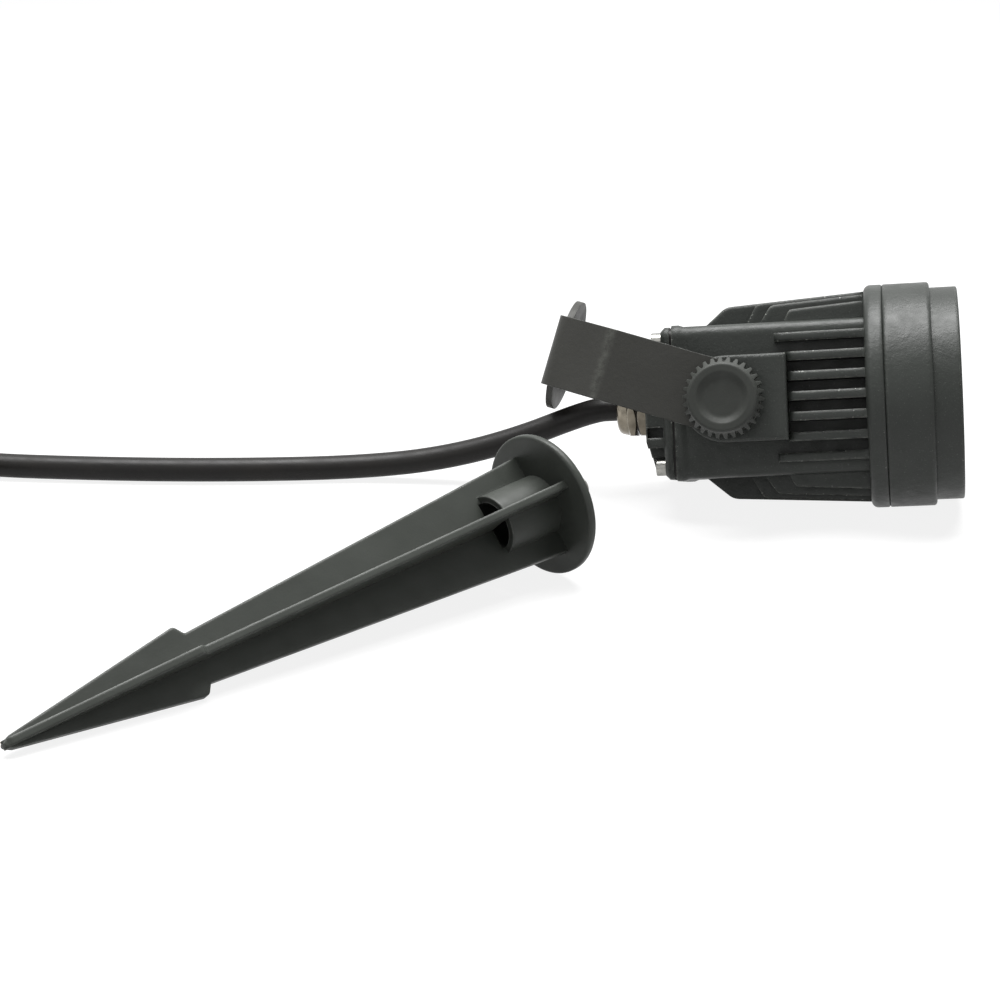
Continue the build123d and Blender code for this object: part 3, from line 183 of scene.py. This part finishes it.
class Finish:
    """A Principled material whose colour, roughness and bump come from stacked procedural layers.

    The roughness given at the start is the plain one, under what rough() varies it by.
    """

    def __init__(self, name, roughness, metallic=0.0, specular=0.5):
        self.material = bpy.data.materials.new(name)
        self.material.use_nodes = True
        self.tree = self.material.node_tree
        self.shader = self.tree.nodes["Principled BSDF"]
        self.shader.inputs["Roughness"].default_value = roughness
        self.shader.inputs["Metallic"].default_value = metallic
        self.shader.inputs["Specular IOR Level"].default_value = specular
        self.where = self.add("ShaderNodeTexCoord").outputs["Object"]
        self.normal = None
        self.colour_now = None

    # Nodes: each method adds one or a few, and gives the socket with the result.

    def put(self, socket, value):
        """Links a socket to another, or sets it to a plain value."""
        if isinstance(value, bpy.types.NodeSocket):
            self.tree.links.new(value, socket)
        else:
            socket.default_value = value

    def add(self, kind, **inputs):
        made = self.tree.nodes.new(kind)
        for name, value in inputs.items():
            self.put(made.inputs[name], value)
        return made

    def math(self, operation, a, b=0.0, clamp=False):
        made = self.add("ShaderNodeMath")
        made.operation = operation
        made.use_clamp = clamp
        self.put(made.inputs[0], a)
        self.put(made.inputs[1], b)
        return made.outputs[0]

    def times(self, a, b):
        return self.math("MULTIPLY", a, b)

    def dot(self, a, b):
        made = self.add("ShaderNodeVectorMath")
        made.operation = "DOT_PRODUCT"
        self.put(made.inputs[0], a)
        self.put(made.inputs[1], b)
        return made.outputs["Value"]

    def stretch(self, scale):
        """Object coordinates scaled apart in x, y and z, for brushed or drawn textures."""
        made = self.add("ShaderNodeMapping", Vector=self.where)
        made.inputs["Scale"].default_value = scale
        return made.outputs[0]

    def noise(self, size, detail=2.0, rough=0.5, where=None):
        """Noise whose features are about that many metres across."""
        made = self.add("ShaderNodeTexNoise", Scale=1 / size, Detail=detail, Roughness=rough)
        self.put(made.inputs["Vector"], where or self.where)
        return made.outputs["Fac"]

    def cells(self, size, feature="F1"):
        """Distances in a pattern of cells about that many metres across."""
        made = self.add("ShaderNodeTexVoronoi", Scale=1 / size)
        made.feature = feature
        self.put(made.inputs["Vector"], self.where)
        return made.outputs["Distance"]

    def span(self, value, low, high, to_low=0.0, to_high=1.0, smooth=False):
        """Maps low to to_low and high to to_high, and stays there beyond them."""
        made = self.add("ShaderNodeMapRange")
        made.interpolation_type = "SMOOTHSTEP" if smooth else "LINEAR"
        for socket, given in zip(made.inputs, (value, low, high, to_low, to_high)):
            self.put(socket, given)
        return made.outputs[0]

    def mix(self, amount, a, b):
        made = self.add("ShaderNodeMix")
        made.data_type = "RGBA"
        self.put(made.inputs["Factor"], amount)
        sockets = {s.name: s for s in made.inputs if s.type == "RGBA"}
        self.put(sockets["A"], a)
        self.put(sockets["B"], b)
        return next(s for s in made.outputs if s.type == "RGBA")

    def patches(self, size, detail, low=0.0, high=1.0):
        """Soft patches between two values."""
        return self.span(self.noise(size, detail), *PATCH_SPAN, low, high)

    # Layers: each method works on the colour, the roughness or the normal so far.

    def colour(self, value):
        self.colour_now = value
        self.put(self.shader.inputs["Base Color"], value)

    def tones(self, dark, light, size, detail=3.0):
        """Soft patches between two near colours."""
        self.colour(self.mix(self.patches(size, detail), dark, light))

    def tint(self, mask, amount, colour):
        """Another colour over the one so far, by that amount where the mask is 1."""
        self.colour(self.mix(self.times(mask, amount), self.colour_now, colour))

    def rub(self, edge, edge_span, amount, colour, scuffs=None, scuff_span=None):
        """A paler colour along the outer edges, broken up where the noise of scuffs is given."""
        mask = self.span(edge, *edge_span)
        if scuffs:
            mask = self.times(mask, self.span(self.noise(*scuffs), *scuff_span))
        self.tint(mask, amount, colour)

    def shade(self, reach, low, amount):
        """Painted shade: darker colour where other surfaces stand close."""
        open_sky = self.add("ShaderNodeAmbientOcclusion", Distance=reach)
        near = self.span(open_sky.outputs["AO"], low, 1.0, amount, 0.0)
        self.colour(self.mix(near, self.colour_now, PAINTED_SHADE_COLOUR))

    def rough(self, low, high, size, detail=3.0):
        self.put(self.shader.inputs["Roughness"], self.patches(size, detail, low, high))

    def soften(self, radius):
        """Rounds the look of sharp edges, and gives the mask of where the outer ones are."""
        rounded = self.add("ShaderNodeBevel", Radius=radius)
        rounded.samples = BEVEL_SAMPLES
        flat = self.add("ShaderNodeNewGeometry").outputs["Normal"]
        open_sky = self.add("ShaderNodeAmbientOcclusion", Distance=OPEN_REACH * radius)
        open_sky.samples = OPEN_SAMPLES
        outer = self.span(open_sky.outputs["AO"], *OPEN_SPAN)
        self.normal = self.mix(outer, flat, rounded.outputs[0])
        bent = self.math("SUBTRACT", 1.0, self.dot(rounded.outputs[0], flat), clamp=True)
        return self.times(bent, outer)

    def bump(self, height, depth, strength):
        made = self.add("ShaderNodeBump", Height=height, Distance=depth, Strength=strength)
        if self.normal is not None:
            self.put(made.inputs["Normal"], self.normal)
        self.normal = made.outputs[0]

    def done(self):
        self.put(self.shader.inputs["Normal"], self.normal)
        return self.material


def cast_paint():
    """Matte powder coat on a die casting: orange peel, fine grain, edges rubbed and chipped."""
    f = Finish("cast_paint_coat", roughness=0.5, specular=0.3)
    edge = f.soften(radius=0.0019)
    f.tones(srgb(40, 43, 40), srgb(48, 51, 48), size=0.018)
    specks = f.span(f.noise(0.0004, detail=1.0), 0.66, 0.76)
    f.tint(specks, 0.35, srgb(96, 100, 95))
    f.rub(edge, (0.08, 0.26), 0.68, srgb(140, 143, 137), (0.004, 4.0, 0.7), (0.36, 0.62))
    f.rub(edge, (0.06, 0.16), 0.8, srgb(196, 198, 192), (0.0009, 2.0), (0.67, 0.70))
    f.rough(0.36, 0.50, size=0.004)
    f.bump(f.noise(0.0014), depth=0.00016, strength=0.55)
    f.bump(f.noise(0.00045, detail=1.5), depth=0.00008, strength=0.55)
    return f.done()


def strip_paint():
    """Smoother powder coat on rolled strip, with a painted highlight across the bend of the arms."""
    f = Finish("strip_paint_coat", roughness=0.5, specular=0.24)
    edge = f.soften(radius=0.0004)
    f.tones(srgb(52, 52, 49), srgb(59, 59, 56), size=0.022)
    knee = pivot.dot(BRACKET_AXIS) + KNEE_PLACE
    from_knee = f.math("SUBTRACT", f.dot(f.where, tuple(BRACKET_AXIS)), knee)
    # painted highlight: a pale band across the bend of the arms, broken into streaks
    knee_highlight = f.span(f.math("ABSOLUTE", from_knee), 0.0, 0.0022, 1.0, 0.0, smooth=True)
    highlight_streaks = f.span(f.noise(0.0022, detail=5.0, rough=0.8), 0.36, 0.66)
    f.tint(f.times(knee_highlight, highlight_streaks), 0.42, srgb(112, 114, 108))
    f.rub(edge, (0.03, 0.14), 0.6, srgb(150, 154, 149), (0.003, 4.0, 0.7), (0.42, 0.60))
    f.rough(0.40, 0.54, size=0.008)
    f.bump(f.noise(0.0013), depth=0.00012, strength=0.5)
    f.bump(f.noise(0.00035, detail=1.5), depth=0.00005, strength=0.5)
    return f.done()


def nickel():
    """Nickel plate with turning marks and polished edges, slightly warm, with painted shade in its
    corners.
    """
    f = Finish("nickel_plate", roughness=0.24, metallic=1.0)
    edge = f.soften(radius=0.0004)
    f.tones(srgb(104, 98, 87), srgb(146, 139, 126), size=0.005)
    f.rub(edge, (0.05, 0.2), 0.5, srgb(244, 238, 226))
    # painted shade: colour darkened where other surfaces stand close, in place of the dark
    # surroundings the plate would reflect
    f.shade(reach=0.02, low=0.25, amount=0.85)
    f.rough(0.18, 0.28, size=0.003)
    f.bump(f.noise(0.0012, where=f.stretch((7, 1, 1))), depth=0.00001, strength=0.3)
    return f.done()


def stainless():
    """Drawn and rolled stainless steel."""
    f = Finish("stainless_steel", roughness=0.3, metallic=1.0)
    f.soften(radius=0.00025)
    f.tones(srgb(120, 120, 117), srgb(168, 167, 162), size=0.003)
    f.rough(0.22, 0.42, size=0.0012, detail=4.0)
    drawn = f.noise(0.0009, detail=3.0, where=f.stretch((5, 1, 1)))
    f.bump(drawn, depth=0.00003, strength=0.4)
    return f.done()


def black_rubber():
    """Extruded rubber: brown-black, soft sheen, fine grain and long faint drag marks."""
    f = Finish("rubber_sheath", roughness=0.5, specular=0.22)
    f.tones(srgb(16, 15, 14), srgb(23, 21, 19), size=0.012)
    dust = f.span(f.noise(0.0018, detail=5.0, rough=0.7), 0.62, 0.80)
    f.tint(dust, 0.16, srgb(80, 77, 72))
    f.rough(0.38, 0.52, size=0.005, detail=4.0)
    drag = f.noise(0.0010, detail=3.0, where=f.stretch((0.25, 1, 1)))
    f.bump(drag, depth=0.00007, strength=0.5)
    f.bump(f.noise(0.00025, detail=1.0), depth=0.00003, strength=0.35)
    return f.done()


def knob_plastic():
    """Glass-filled nylon, moulded, with a satin grain and rubbed tooth tips."""
    f = Finish("knob_nylon", roughness=0.5, specular=0.26)
    edge = f.soften(radius=0.0004)
    f.tones(srgb(48, 50, 47), srgb(56, 58, 55), size=0.009)
    f.rub(edge, (0.05, 0.25), 0.5, srgb(126, 131, 127), (0.0016, 4.0, 0.7), (0.44, 0.62))
    f.rough(0.46, 0.62, size=0.004)
    f.bump(f.noise(0.0007), depth=0.00006, strength=0.5)
    f.bump(f.noise(0.0002, detail=1.0), depth=0.00003, strength=0.4)
    return f.done()


def spike_plastic():
    """Moulded polypropylene: satin, with flow marks along the spike and scuffed rims."""
    f = Finish("spike_moulding", roughness=0.46, specular=0.26)
    edge = f.soften(radius=0.0011)
    f.tones(srgb(50, 53, 49), srgb(59, 62, 58), size=0.03, detail=4.0)
    f.rub(edge, (0.08, 0.26), 0.5, srgb(132, 135, 131), (0.004, 4.0, 0.7), (0.36, 0.6))
    f.rough(0.36, 0.52, size=0.008, detail=4.0)
    f.bump(f.noise(0.006, detail=3.0), depth=0.00022, strength=0.35)
    f.bump(f.noise(0.0006), depth=0.00005, strength=0.4)
    return f.done()


def clear_glass():
    """Toughened glass with a faint green body and a light film of dust."""
    f = Finish("toughened_glass", roughness=0.02)
    f.shader.inputs["Transmission Weight"].default_value = 1.0
    f.shader.inputs["IOR"].default_value = 1.52
    f.tones(srgb(236, 243, 240), srgb(246, 250, 248), size=0.02)
    f.rough(0.01, 0.05, size=0.006, detail=5.0)
    f.bump(f.noise(0.02, detail=1.0), depth=0.00002, strength=0.2)
    return f.done()


def reflector_skin():
    """Vacuum-metallised cup with a fine pebble that spreads the beam."""
    f = Finish("metallised_cup", roughness=0.16, metallic=1.0)
    f.tones(srgb(214, 216, 218), srgb(236, 237, 238), size=0.01)
    f.rough(0.10, 0.22, size=0.003)
    f.bump(f.cells(0.0016), depth=0.0003, strength=0.7)
    return f.done()


def led_yellow():
    """Phosphor gel over the chips, in a raised ring."""
    f = Finish("phosphor_gel", roughness=0.35)
    f.tones(srgb(226, 190, 62), srgb(244, 214, 96), size=0.002)
    f.rough(0.28, 0.46, size=0.001)
    f.bump(f.noise(0.0008, detail=3.0), depth=0.0001, strength=0.5)
    return f.done()


def board_white():
    """White solder mask over copper, with the tracks standing faintly proud."""
    f = Finish("white_mask", roughness=0.35)
    f.tones(srgb(222, 224, 220), srgb(236, 237, 233), size=0.006)
    f.rough(0.26, 0.42, size=0.002)
    tracks = f.span(f.cells(0.0045, "DISTANCE_TO_EDGE"), 0.02, 0.06)
    f.bump(tracks, depth=0.00005, strength=0.6)
    return f.done()


def board_green():
    """Green solder mask with tracks and a fibre weave."""
    f = Finish("green_mask", roughness=0.32)
    tracks = f.span(f.cells(0.004, "DISTANCE_TO_EDGE"), 0.03, 0.07)
    f.colour(f.mix(tracks, srgb(64, 120, 70), srgb(24, 82, 44)))
    f.rough(0.24, 0.42, size=0.002)
    f.bump(tracks, depth=0.00005, strength=0.6)
    f.bump(f.noise(0.0006, detail=1.0), depth=0.00003, strength=0.4)
    return f.done()


def component_black():
    """Moulded epoxy and shrink film."""
    f = Finish("epoxy_case", roughness=0.45)
    edge = f.soften(radius=0.0003)
    f.tones(srgb(28, 28, 29), srgb(38, 38, 39), size=0.004)
    f.rub(edge, (0.05, 0.2), 0.4, srgb(92, 92, 92))
    f.rough(0.38, 0.58, size=0.002)
    f.bump(f.noise(0.0005), depth=0.00005, strength=0.5)
    return f.done()


def thermal_grey():
    """Soft filled silicone."""
    f = Finish("thermal_silicone", roughness=0.75)
    f.tones(srgb(120, 124, 128), srgb(140, 143, 147), size=0.004)
    f.rough(0.65, 0.85, size=0.002)
    f.bump(f.noise(0.0007, detail=3.0), depth=0.0001, strength=0.5)
    return f.done()


def wire_cover():
    """Core insulation in the three usual colours, one to a core."""
    f = Finish("core_insulation", roughness=0.45)
    brown, blue, green = srgb(98, 60, 38), srgb(38, 74, 140), srgb(126, 150, 48)
    pick = f.add("ShaderNodeNewGeometry").outputs["Random Per Island"]
    first_two = f.mix(f.math("GREATER_THAN", pick, 0.33), brown, blue)
    all_three = f.mix(f.math("GREATER_THAN", pick, 0.66), first_two, green)
    chalk = f.span(f.noise(0.004, detail=3.0), 0.35, 0.7, 0.0, 0.18)
    f.colour(f.mix(chalk, all_three, srgb(226, 220, 210)))
    f.rough(0.38, 0.54, size=0.002)
    f.bump(f.noise(0.0006), depth=0.00004, strength=0.4)
    return f.done()


def ferrule_metal():
    """Tinned copper with crimp marks."""
    f = Finish("tinned_copper", roughness=0.32, metallic=1.0)
    f.tones(srgb(186, 184, 178), srgb(214, 212, 206), size=0.0015)
    f.rough(0.24, 0.44, size=0.0008)
    f.bump(f.noise(0.0009, where=f.stretch((6, 1, 1))), depth=0.00008, strength=0.6)
    return f.done()


def tie_plastic():
    """Black nylon strap with fine ratchet ridges."""
    f = Finish("nylon_strap", roughness=0.42)
    edge = f.soften(radius=0.0002)
    f.tones(srgb(24, 24, 25), srgb(34, 34, 35), size=0.004)
    f.rub(edge, (0.05, 0.2), 0.4, srgb(88, 88, 88))
    f.rough(0.34, 0.52, size=0.002)
    ridges = f.noise(0.0008, detail=1.0, where=f.stretch((1, 6, 1)))
    f.bump(ridges, depth=0.0001, strength=0.5)
    return f.done()


# Each of these functions is named after the record's material slot that it finishes.
MAKERS = (
    cast_paint, strip_paint, nickel, stainless, black_rubber, clear_glass, reflector_skin, led_yellow,
    board_white, board_green, component_black, thermal_grey, knob_plastic, spike_plastic, wire_cover,
    ferrule_metal, tie_plastic,
)
finishes = {make.__name__: make() for make in MAKERS}

for obj in nodes.values():
    for holder in obj.material_slots:
        holder.material = finishes[holder.material.name.split(".")[0]]
cable.data.materials.append(finishes["black_rubber"])

# ---------------------------------------------------------------- floor, world and lights
FLOOR_REACH = 8.0
FLOOR_DROP = 0.0002  # below the table plane, so that it never fights with what lies on it
FLOOR_MATTE = 0.42   # the floor that lights the object from below
FLOOR_SHADOWED = 0.18  # the part of the shown floor that takes the object's shadow
FLOOR_GLOW = 0.86    # the part that keeps it white
WORLD_LIGHT = 0.07
WORLD_SHOWN = 1.0
LAMP_AIM = (-0.02, 0.02, 0.03)
LAMPS = (  # name, place, size, watts
    ("overhead", (-0.10, 0.22, 1.15), (1.2, 0.7), 36.0),
    ("front_fill", (-0.55, -1.2, 0.55), (0.9, 0.8), 1.0),
)


def shown_rays(tree):
    """1 for the rays that show the background: camera, glossy and transmission rays."""
    path = tree.nodes.new("ShaderNodeLightPath")
    total = path.outputs["Is Camera Ray"]
    for name in ("Is Glossy Ray", "Is Transmission Ray"):
        made = tree.nodes.new("ShaderNodeMath")
        made.operation = "MAXIMUM"
        tree.links.new(total, made.inputs[0])
        tree.links.new(path.outputs[name], made.inputs[1])
        total = made.outputs[0]
    return total


def floor_material():
    """Plain matte for the light that it throws back, and near white with a soft shadow to look at."""
    material = bpy.data.materials.new("pale_floor")
    material.use_nodes = True
    tree = material.node_tree
    tree.nodes.clear()

    def diffuse(grey):
        made = tree.nodes.new("ShaderNodeBsdfDiffuse")
        made.inputs["Color"].default_value = (grey, grey, grey, 1)
        return made.outputs[0]

    out = tree.nodes.new("ShaderNodeOutputMaterial")
    matte = diffuse(FLOOR_MATTE)
    shadowed = diffuse(FLOOR_SHADOWED)
    glow = tree.nodes.new("ShaderNodeEmission")
    glow.inputs["Strength"].default_value = FLOOR_GLOW
    shown = tree.nodes.new("ShaderNodeAddShader")
    tree.links.new(shadowed, shown.inputs[0])
    tree.links.new(glow.outputs[0], shown.inputs[1])
    pick = tree.nodes.new("ShaderNodeMixShader")
    tree.links.new(shown_rays(tree), pick.inputs[0])
    tree.links.new(matte, pick.inputs[1])
    tree.links.new(shown.outputs[0], pick.inputs[2])
    tree.links.new(pick.outputs[0], out.inputs[0])
    return material


def make_floor():
    reach = FLOOR_REACH
    mesh = bpy.data.meshes.new("floor")
    corners = [(-reach, -reach, 0), (reach, -reach, 0), (reach, reach, 0), (-reach, reach, 0)]
    mesh.from_pydata(corners, [], [(0, 1, 2, 3)])
    floor = add_object("floor", mesh)
    floor.location.z = -FLOOR_DROP
    mesh.materials.append(floor_material())


def make_world():
    """White where it shows, and only a faint fill where it lights the object."""
    world = bpy.data.worlds.new("studio")
    bpy.context.scene.world = world
    world.use_nodes = True
    tree = world.node_tree
    back = tree.nodes["Background"]
    back.inputs["Color"].default_value = (1, 1, 1, 1)
    made = tree.nodes.new("ShaderNodeMapRange")
    made.inputs["To Min"].default_value = WORLD_LIGHT
    made.inputs["To Max"].default_value = WORLD_SHOWN
    tree.links.new(shown_rays(tree), made.inputs["Value"])
    tree.links.new(made.outputs[0], back.inputs["Strength"])


def make_lamp(name, place, size, watts):
    data = bpy.data.lights.new(name, "AREA")
    data.shape = "RECTANGLE"
    data.size, data.size_y = size
    data.energy = watts
    point_at(add_object(name, data), place, LAMP_AIM)


make_floor()
make_world()
for lamp in LAMPS:
    make_lamp(*lamp)

bpy.context.scene.view_settings.view_transform = "Standard"
